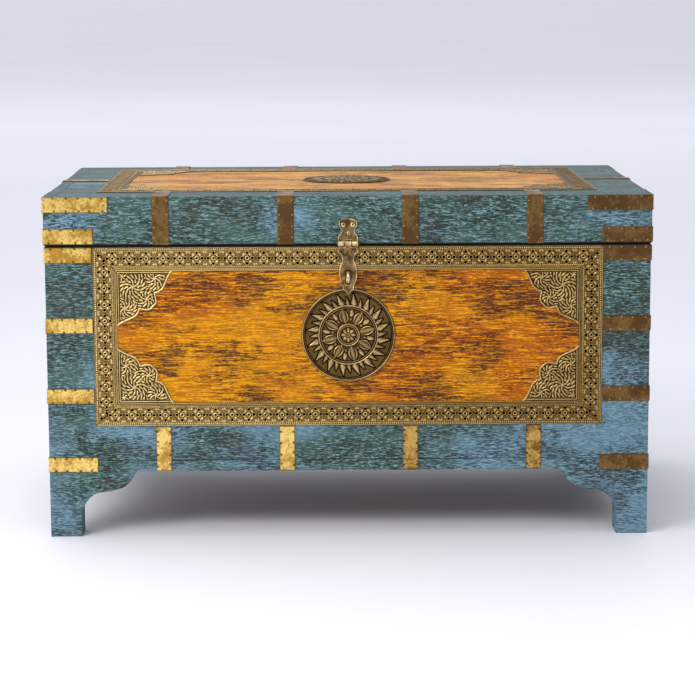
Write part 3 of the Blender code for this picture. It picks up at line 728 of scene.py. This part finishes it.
def bent_path(first_leg, second_leg, step=1.0):
    """A strip's top, as (points, normals) in mm: flat, or round a corner whose arris is at (0, 0).

    The first leg comes in along -a with normal +b, the second leaves along -b with normal +a.
    """
    top = STRIP_MM
    runs = np.arange(-first_leg, -0.5, step)
    points = [np.column_stack([runs, np.full(len(runs), top)])]
    normals = [np.tile((0.0, 1.0), (len(runs), 1))]
    if second_leg:
        turn = np.linspace(math.pi / 2, 0, 6)
        centre = top - BEND_MM
        ring = np.column_stack([np.cos(turn), np.sin(turn)])
        points.append(centre + BEND_MM * ring)
        normals.append(ring)
        runs = np.arange(-0.5 - step, -second_leg, -step)
        runs = np.append(runs, -second_leg)
        points.append(np.column_stack([np.full(len(runs), top), runs]))
        normals.append(np.tile((1.0, 0.0), (len(runs), 1)))
    else:
        points.append(np.array([[0.0, top]]))
        normals.append(np.array([[0.0, 1.0]]))
    return np.vstack(points), np.vstack(normals)


def strip_relief(along, across, length, width, seed, edged):
    """How far a strip's skin lies below its flat top, and what it is marked: 0 on nails, 1 in the open.

    With edged, its edges are marked too.
    """
    chance = np.random.default_rng(seed)
    to_edge = np.minimum(np.minimum(across, width - across), np.minimum(along, length - along))
    drop = -0.30 * np.clip(1 - to_edge / 1.3, 0, 1) ** 2
    for k in range(4):
        a, b = chance.uniform(0, length), chance.uniform(0, width)
        away = np.hypot((along - a) / 9, (across - b) / 5)
        drop -= 0.10 * np.exp(-(away**2))
    shown = 0.25 + 0.75 * np.clip(to_edge / DARK_EDGE_MM, 0, 1) if edged else np.ones_like(to_edge)
    count = max(2, round(length / NAIL_PITCH))
    for side in (NAIL_IN, width - NAIL_IN):
        for k in range(count):
            a = length * (k + 0.5) / count + chance.uniform(-1.8, 1.8)
            away = np.hypot(along - a, across - side - chance.uniform(-0.35, 0.35))
            drop += 0.42 * dome(away, NAIL_MM) - 0.16 * ridge(away - NAIL_MM - 0.5, 0.5)
            shown -= 0.75 * ridge(away - NAIL_MM * 0.75, 1.0)
    return drop, np.clip(shown, 0, 1)


def strip_mesh(first_leg, second_leg, width, seed, edged):
    """(points in mm as (a, b, across), faces, marks) of one strip, closed."""
    path, normals = bent_path(first_leg, second_leg)
    travelled = np.concatenate([[0], np.cumsum(np.hypot(*np.diff(path, axis=0).T))])
    columns = int(width / STRIP_CELL)
    across = np.linspace(0, width, columns + 1)[None, :]
    along = travelled[:, None]
    drop, shown = strip_relief(along, across, travelled[-1], width, seed, edged)
    index = np.arange(along.size * across.size).reshape(along.size, across.size)
    skins = []
    for depth in (drop, np.full_like(drop, -SHEET_MM + 0.05)):
        flat = path[:, None, :] + normals[:, None, :] * depth[:, :, None]
        skins.append(np.dstack([flat, np.broadcast_to(across, drop.shape)]).reshape(-1, 3))
    count = index.size
    faces = grid_faces(index) + grid_faces(index[::-1] + count)
    rim = [int(i) for i in rim_of(index)]
    for k, start in enumerate(rim):
        end = rim[(k + 1) % len(rim)]
        faces.append((end, start, start + count, end + count))
    under = np.full(count, 0.3 if edged else 1.0)
    return np.vstack(skins), faces, np.concatenate([shown.ravel(), under])


def strip_piece(name, legs, width, place, look, body, node, seed):
    """A strip that stands in for a CAD node, or for none. Only those in the darkest brass, tarnished and in
    painted shade, have no dark edges.
    """
    points, faces, shown = strip_mesh(*legs, width, seed, look.name != "brass_tarnish_and_shade")
    made = tidied(mesh_object(name, placed(points, place), faces, look, body, shown))
    if node:
        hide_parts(node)
    return made


def axes_to(corner, a_axis, b_axis, width_axis):
    """Places a strip's (a, b, across) at a corner."""
    columns = [Vector(axis).to_4d() for axis in (a_axis, b_axis, width_axis)]
    for column in columns:
        column.w = 0
    return Matrix((*columns, (*corner, 1))).transposed()


def corner_band_pair(part, side, side_name, row, look):
    """The band of one row round a front corner, and its match round the back corner."""
    node = f"{part}_band_{side_name}_{row}"
    low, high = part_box(node)
    width, leg = (high.z - low.z) / MM, (high.x - low.x) / MM - STRIP_MM
    half_x, half_y = (LID_HIGH.x, LID_BACK) if part == "lid" else (BOX_HIGH.x, BACK_HIGH.y)
    seed = 10 * row + (side > 0) + (100 if part == "lid" else 0)
    for facing, where, shown in ((-1, "front", node), (1, "back", None)):
        corner = (side * half_x, facing * half_y, low.z)
        place = axes_to(corner, (side, 0, 0), (0, facing, 0), (0, 0, 1))
        name = f"{part}_{where}_band_{side_name}_{row}"
        strip_piece(name, (leg, leg), width, place, look, part, shown, seed + 1000 * (facing > 0))


def make_corner_bands(looks):
    for side, side_name in ((-1, "left"), (1, "right")):
        # Left-hand bands bright, right-hand ones darker: tarnish and painted shade
        look = looks["gold"] if side < 0 else looks["tarnish_and_shade"]
        for part, rows in (("box", 4), ("lid", 2)):
            for row in range(1, rows + 1):
                corner_band_pair(part, side, side_name, row, look)


def add_strap(node, part, axis, sign, look, seed):
    """A strap on a side that faces along an axis, 0 for X or 1 for Y. The lid's are folded over its top."""
    low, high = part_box(node)
    out, across, up = Vector(), Vector(), Vector((0, 0, 1))
    out[axis], across[1 - axis] = sign, 1
    corner = Vector(low)
    corner[axis] = sign * STRAP_FACES[part][axis]
    corner.z = LID_HIGH.z if part == "lid" else high.z
    width, drop = (high[1 - axis] - low[1 - axis]) / MM, (high.z - low.z) / MM
    if part == "lid":
        legs = ((high[axis] - low[axis]) / MM - STRIP_MM, drop - STRIP_MM)
        place = axes_to(corner, out, up, across)
    else:
        legs = (drop, 0)
        place = axes_to(corner, up, out, across)
    strip_piece(f"{node}_sheet", legs, width, place, look, part, node, seed)


def make_straps(looks):
    for k in range(1, 5):
        for facing, where in ((-1, "front"), (1, "back")):
            # The lid's straps in the darkest brass: tarnish and painted shade
            add_strap(f"lid_{where}_strap_{k}", "lid", 1, facing, looks["tarnish_and_shade"], 200 + k)
        # Straps right of the middle darker: painted shade
        look = looks["gold"] if k < 3 else looks["pale"]
        add_strap(f"box_front_strap_{k}", "box", 1, -1, look, 300 + k)
    for side, where in ((-1, "left"), (1, "right")):
        # The left end straps lighter, a painted highlight; the right ones darker, tarnish and painted shade
        look = looks["pale"] if side < 0 else looks["tarnish_and_shade"]
        add_strap(f"lid_{where}_end_strap", "lid", 0, side, look, 400 + side)
        add_strap(f"box_{where}_end_strap", "box", 0, side, look, 410 + side)


# ---- Hasp, staple and hinges ----

PIN_Y, PIN_Z = (sum(v) / 2 for v in zip(*[(p.y, p.z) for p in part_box("hasp_pin")]))
KNUCKLE_MM, BORE_MM = 4.2, 2.5
HASP_HALF_MM, PLATE_MM = 13.3, 1.5
MIDDLE_MM = 4.5
EAR_GAP_MM = 0.5
CLEAR_MM = KNUCKLE_MM + 0.6
RIM_MM, RIM_RISE = 0.9, 0.25
SCREW_SUNK = 0.25


def curve_points(*corners, steps=8):
    """Cubic curves joined end to end: the first point, then every curve's own points."""
    points = [np.array([corners[0]], float)]
    for k in range(0, len(corners) - 1, 3):
        points.append(bezier(corners[k : k + 4], steps))
    return np.vstack(points)


def both_sides(right):
    """A closed outline from its right half, which starts or ends on the middle line."""
    left = right[::-1] * (-1, 1)
    keep = np.abs(left[:, 0]) > 1e-6
    return [tuple(p) for p in np.vstack([right, left[keep]])]


def ring_points(centre, radius, start, end, steps):
    turn = np.radians(np.linspace(start, end, steps + 1))
    return [(centre[0] + radius * math.cos(t), centre[1] + radius * math.sin(t)) for t in turn]


def add_plate(shape, outline, low, high, holes=()):
    """A flat plate in mm, from w = low to high, added to a bmesh."""
    edges = []
    for ring in (outline, *holes):
        verts = [shape.verts.new((u, v, low)) for u, v in ring]
        edges += [shape.edges.new(pair) for pair in zip(verts, verts[1:] + verts[:1])]
    filled = bmesh.ops.triangle_fill(shape, use_beauty=True, edges=edges)["geom"]
    faces = [item for item in filled if isinstance(item, bmesh.types.BMFace)]
    grown = bmesh.ops.extrude_face_region(shape, geom=faces)["geom"]
    moved = [item for item in grown if isinstance(item, bmesh.types.BMVert)]
    bmesh.ops.translate(shape, vec=(0, 0, high - low), verts=moved)


def add_turned(shape, profile, place, steps=28, closed=False):
    """A shape turned from (radius, along) points, about its own Z, placed by a matrix, added to a bmesh."""
    rings = []
    for radius, along in profile:
        if radius < 1e-6:
            rings.append([shape.verts.new(place @ Vector((0, 0, along)))] * steps)
            continue
        turn = [math.tau * k / steps for k in range(steps)]
        circle = [(radius * math.cos(t), radius * math.sin(t)) for t in turn]
        rings.append([shape.verts.new(place @ Vector((x, y, along))) for x, y in circle])
    pairs = list(zip(rings, rings[1:])) + ([(rings[-1], rings[0])] if closed else [])
    for low, high in pairs:
        for k in range(steps):
            n = (k + 1) % steps
            corners = list(dict.fromkeys((low[k], low[n], high[n], high[k])))
            if len(corners) > 2:
                shape.faces.new(corners)
    if not closed and len(set(rings[0])) > 1:
        shape.faces.new(rings[0])


def add_knuckle(shape, low, high):
    """A pipe along X with a rolled bead at each end."""
    outer = KNUCKLE_MM
    end = [(BORE_MM, 0), (outer - 0.7, 0), (outer, 0.5), (outer, 1.1), (outer - 0.35, 1.5)]
    profile = [(radius, low + along) for radius, along in end]
    profile += [(radius, high - along) for radius, along in reversed(end)]
    along_x = Matrix(((0, 0, 1, 0), (1, 0, 0, 0), (0, 1, 0, 0), (0, 0, 0, 1)))
    add_turned(shape, profile, along_x, closed=True)


def raise_rim(shape, high):
    """Raises a rim along every edge of a plate's front, at w = high, in the plate's second material, a
    painted highlight.
    """
    fronts = [face for face in shape.faces if all(abs(vert.co.z - high) < 1e-4 for vert in face.verts)]
    rims = bmesh.ops.inset_region(shape, faces=fronts, thickness=RIM_MM, depth=-RIM_RISE)["faces"]
    for face in rims:
        face.material_index = 1


def solid_piece(name, shape, place, look, body, node=None, bevel=0.0, rim_look=None):
    """A bmesh in mm as a finished piece of hardware."""
    bmesh.ops.recalc_face_normals(shape, faces=shape.faces)
    bmesh.ops.transform(shape, matrix=place @ Matrix.Scale(MM, 4), verts=shape.verts)
    mesh = bpy.data.meshes.new(name)
    shape.to_mesh(mesh)
    shape.free()
    mesh.shade_smooth()
    mesh.set_sharp_from_angle(angle=math.radians(38))
    mesh.materials.append(look)
    if rim_look:
        mesh.materials.append(rim_look)
    made = linked(name, mesh)
    if bevel:
        eased = made.modifiers.new("eased_edges", "BEVEL")
        eased.width, eased.segments, eased.limit_method = bevel * MM, 3, "ANGLE"
        eased.angle_limit = math.radians(40)
        eased.harden_normals = True
    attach(made, body)
    if node:
        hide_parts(node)


# A screw's head, as (radius, how far out): a wide ring, a painted highlight, round a sunken middle in
# painted shade
SCREW_RING = ((1.2, 0.2), (1.2, 0.85), (1.6, 1.25), (2.4, 1.30), (3.0, 0.95), (3.2, 0.3), (3.2, 0.0))
SCREW_MIDDLE = ((0.0, 0.55), (1.1, 0.45), (1.35, 0.1), (1.35, 0.0))


def add_screw(ring, middle, place, size=1.0):
    """A screw, as a ring in one bmesh and its sunken middle in another."""
    for shape, profile in ((ring, SCREW_RING), (middle, SCREW_MIDDLE)):
        sized = [(radius * size, along * size) for radius, along in profile]
        add_turned(shape, sized, place, closed=shape is ring)


# Places (u, v, w) round the hasp's pin, with u to the right, v up and w out of the front
PINNED = Matrix(((1, 0, 0, 0), (0, 0, -1, PIN_Y), (0, 1, 0, PIN_Z), (0, 0, 0, 1)))
AT_PIN = Matrix.Translation((0, PIN_Y, PIN_Z))

# Each screw of the hasp's plate, as (u, v, size)
HASP_SCREWS = ((-6.3, 25.3, 0.95), (6.3, 25.3, 0.95), (0.9, 13.6, 0.8))


def rimmed_plate(name, outline, back, front, looks, body, node, holes=()):
    """A plate of the hasp, with a rim round its front in painted highlight."""
    shape = bmesh.new()
    add_plate(shape, outline, back, front, holes)
    raise_rim(shape, front)
    solid_piece(name, shape, PINNED, looks["hardware"], body, node, 0.3, looks["highlit"])


def make_hasp_plate(looks):
    wall = (PIN_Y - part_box("hasp_plate")[1].y) / MM
    front = wall + PLATE_MM
    inner = MIDDLE_MM + EAR_GAP_MM
    right = curve_points(
        (0.0, 33.7), (6.6, 33.7), (12.2, 31.2), (12.2, 26.2), (12.2, 21.5), (8.5, 20.5), (8.5, 16.5),
        (8.5, 12.5), (13.0, 12.0), (HASP_HALF_MM, 7.0),
    )
    right = np.vstack([right, [(HASP_HALF_MM, 0.5), (inner, 0.5), (inner, CLEAR_MM)]])
    rimmed_plate("hasp_lid_plate", both_sides(right), wall, front, looks, "lid", "hasp_plate")
    shape = bmesh.new()
    for low, high in ((-HASP_HALF_MM, -inner), (inner, HASP_HALF_MM)):
        add_knuckle(shape, low, high)
    # The knuckles in painted highlight
    solid_piece("hasp_lid_knuckles", shape, AT_PIN, looks["highlit"], "lid", "hasp_plate")
    ring, middle = bmesh.new(), bmesh.new()
    for u, v, size in HASP_SCREWS:
        add_screw(ring, middle, Matrix.Translation((u, v, front - SCREW_SUNK)), size)
    # Screw rings in painted highlight, their sunken middles in painted shade
    solid_piece("hasp_screw_rings", ring, PINNED, looks["highlit"], "lid")
    solid_piece("hasp_screw_shaded_middles", middle, PINNED, looks["shadowed"], "lid")


def slot_outline(radius):
    """The leaf's slot, with round ends."""
    return ring_points((0, -38.8), radius, 0, 180, 10) + ring_points((0, -50.8), radius, 180, 360, 10)


def leaf_outline():
    """The right half of the swinging leaf: its knuckle's root, shoulder, waist, belly and round nose."""
    sides = curve_points(
        (12.4, -12.0), (8.5, -14.0), (7.6, -17.5), (7.7, -21.5), (8.0, -27.0), (11.8, -29.0),
        (11.8, -39.0), (11.8, -49.0), (9.5, -52.0), (7.2, -56.0), steps=7,
    )
    root = [(MIDDLE_MM, -2.9), (MIDDLE_MM, -CLEAR_MM), (11.6, -CLEAR_MM), (12.4, -CLEAR_MM - 0.8)]
    nose = ring_points((4.0, -59.2), 3.4, 30, -80, 6)
    return np.vstack([root, sides, nose, [(0.0, -69.0)]])


def make_hasp_leaf(looks):
    back, front = -1.8, 0.2
    slot, lip = slot_outline(3.0), slot_outline(4.2)
    outline = both_sides(leaf_outline())
    rimmed_plate("hasp_swing_leaf", outline, back, front, looks, "hasp_leaf", "hasp_leaf", [slot])
    # A dark ring round the slot: painted shade
    shape = bmesh.new()
    add_plate(shape, lip, front - 0.4, front + 0.1, [slot])
    solid_piece("hasp_slot_shade_ring", shape, PINNED, looks["shadowed"], "hasp_leaf")
    shape = bmesh.new()
    add_knuckle(shape, -MIDDLE_MM, MIDDLE_MM)
    # The knuckle in painted highlight
    solid_piece("hasp_swing_knuckle", shape, AT_PIN, looks["highlit"], "hasp_leaf", "hasp_leaf")


# Each screw of a hinge's leaf, as (across, away from the pin) in metres, and the leaf's thickness
HINGE_SCREWS = ((-0.017, 0.017), (0.017, 0.017), (0.0, 0.033))
HINGE_LEAF = 0.0023
BACKWARDS = Matrix(((1, 0, 0, 0), (0, 0, 1, 0), (0, 1, 0, 0), (0, 0, 0, 1)))


def make_hinge_screws(looks):
    """Screw heads on the leaves of the two hinges at the back."""
    for part, up, wall, knuckle in (("box", -1, BACK_HIGH.y, 0.0), ("lid", 1, LID_BACK, 0.004)):
        ring, middle = bmesh.new(), bmesh.new()
        for number in (1, 2):
            low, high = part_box(f"hinge_{number}_{part}_leaf")
            inner_z = low.z if part == "lid" else high.z
            for across, away in HINGE_SCREWS:
                spot = ((low.x + high.x) / 2 + across, wall + HINGE_LEAF, inner_z + up * (away + knuckle))
                add_screw(ring, middle, Matrix.Translation([c / MM for c in spot]) @ BACKWARDS)
        at_rest = Matrix.Identity(4)
        # Screw rings in painted highlight, their sunken middles in painted shade
        solid_piece(f"hinge_screw_rings_{part}", ring, at_rest, looks["highlit"], part)
        solid_piece(f"hinge_screw_shaded_middles_{part}", middle, at_rest, looks["shadowed"], part)


# ---- CAD nodes that stay, with their finishes ----


def finish_nodes(looks):
    grain_y = {"left_end_board", "right_end_board", "lid_left_rail", "lid_right_rail"}
    for name, node in NODES.items():
        if name == "front_panel":
            look = looks["orange"]
        elif name == "top_panel":
            # The top panel gets the orange with painted sheen
            look = looks["sheen_orange"]
        elif name == "floor_board":
            look = looks["wood"]
        elif name == "hasp_staple":
            # The staple in painted highlight
            look = looks["highlit"]
        elif name.startswith(("hasp", "hinge")):
            look = looks["hardware"]
        elif "strap" in name or "band" in name:
            # Bands and straps in the darkest brass: tarnish and painted shade
            look = looks["tarnish_and_shade"]
        else:
            look = looks["blue_y"] if name in grain_y else looks["blue_x"]
        node.data.materials.clear()
        node.data.materials.append(look)


# ---- Floor, lights, camera ----


FLOOR_HALF = 400.0
WORLD_LEFT, WORLD_RIGHT = 1.50, 0.26

# Each area light's place, what it points at, its size, its power and its colour
LIGHTS = {
    "key": ((-2.2, -2.4, 2.0), (0.0, 0.0, 0.25), (1.6, 1.3), 56, (1.0, 0.98, 0.95)),
    "front_fill": ((0.0, -2.1, 1.7), (0.0, -1.4, 0.0), (2.4, 0.9), 13, (1.0, 1.0, 1.0)),
    "behind": ((0.0, 9.0, 5.0), (0.0, 9.0, 0.0), (12.0, 5.0), 90, (0.97, 0.98, 1.0)),
    "overhead": ((0.3, 0.3, 2.8), (0.0, 0.0, 0.3), (2.6, 2.0), 12, (0.97, 0.98, 1.0)),
}


def make_floor():
    mesh = bpy.data.meshes.new("floor")
    corners = [(u * FLOOR_HALF, v * FLOOR_HALF, 0) for u, v in ((-1, -1), (1, -1), (1, 1), (-1, 1))]
    mesh.from_pydata(corners, [], [(0, 1, 2, 3)])
    look = Look("studio_floor")
    tone = look.noise((0.5, 0.5, 0.5), 2)
    base = look.mix(look.step(tone, 0.3, 0.7), display(245, 245, 251), display(242, 242, 250))
    mesh.materials.append(look.finish(Base_Color=base, Roughness=0.6))
    linked("floor", mesh)


def area_light(name, place, target, size, power, colour):
    data = bpy.data.lights.new(name, "AREA")
    data.shape = "RECTANGLE"
    data.size, data.size_y = size
    data.energy = power
    data.color = colour
    light = linked(name, data)
    light.location = place
    light.rotation_euler = (Vector(target) - Vector(place)).to_track_quat("-Z", "Y").to_euler()
    light.visible_camera = False


def make_world():
    """A bright studio: lightest from the left, darker from the right and from behind the camera."""
    world = bpy.data.worlds.new("studio")
    world.use_nodes = True
    bpy.context.scene.world = world
    tree = world.node_tree
    split = tree.nodes.new("ShaderNodeSeparateXYZ")
    tree.links.new(tree.nodes.new("ShaderNodeTexCoord").outputs["Generated"], split.inputs[0])

    def ramp(axis, low, high, start, end):
        made = tree.nodes.new("ShaderNodeMapRange")
        for name, value in (("From Min", low), ("From Max", high), ("To Min", start), ("To Max", end)):
            made.inputs[name].default_value = value
        tree.links.new(split.outputs[axis], made.inputs["Value"])
        return made.outputs[0]

    def combine(operation, first, second):
        made = tree.nodes.new("ShaderNodeMath")
        made.operation = operation
        tree.links.new(first, made.inputs[0])
        tree.links.new(second, made.inputs[1])
        return made.outputs[0]

    lit = combine("MAXIMUM", ramp("Y", -0.9, 0.1, 0.22, 1.0), ramp("Z", 0.25, 0.85, 0.22, 1.0))
    strength = combine("MULTIPLY", lit, ramp("X", -0.7, 0.7, WORLD_LEFT, WORLD_RIGHT))
    back = tree.nodes["Background"]
    back.inputs["Color"].default_value = (0.93, 0.94, 1.0, 1)
    tree.links.new(strength, back.inputs["Strength"])


def make_lights():
    make_world()
    for name, light in LIGHTS.items():
        area_light(name, *light)


def make_camera():
    pitch, yaw, roll = (math.radians(a) for a in (CAMERA_PITCH, CAMERA_YAW, CAMERA_ROLL))
    ahead = Vector((math.sin(yaw) * math.cos(pitch), math.cos(yaw) * math.cos(pitch), -math.sin(pitch)))
    level = Vector((math.cos(yaw), -math.sin(yaw), 0))
    right = level * math.cos(roll) + level.cross(ahead) * math.sin(roll)
    up = right.cross(ahead)
    data = bpy.data.cameras.new("camera")
    data.lens, data.sensor_width = CAMERA_LENS, 36.0
    data.shift_x, data.shift_y = CAMERA_SHIFT
    data.clip_end = 1000
    camera = linked("camera", data)
    place = Matrix((right, up, -ahead)).transposed().to_4x4()
    place.translation = CAMERA_PLACE
    camera.matrix_world = place
    bpy.context.scene.camera = camera


def main():
    bpy.context.scene.view_settings.view_transform = "Standard"
    make_camera()
    make_floor()
    make_lights()
    looks = make_materials()
    finish_nodes(looks)
    make_relief(looks)
    make_corner_bands(looks)
    make_straps(looks)
    make_hasp_plate(looks)
    make_hasp_leaf(looks)
    make_hinge_screws(looks)


main()
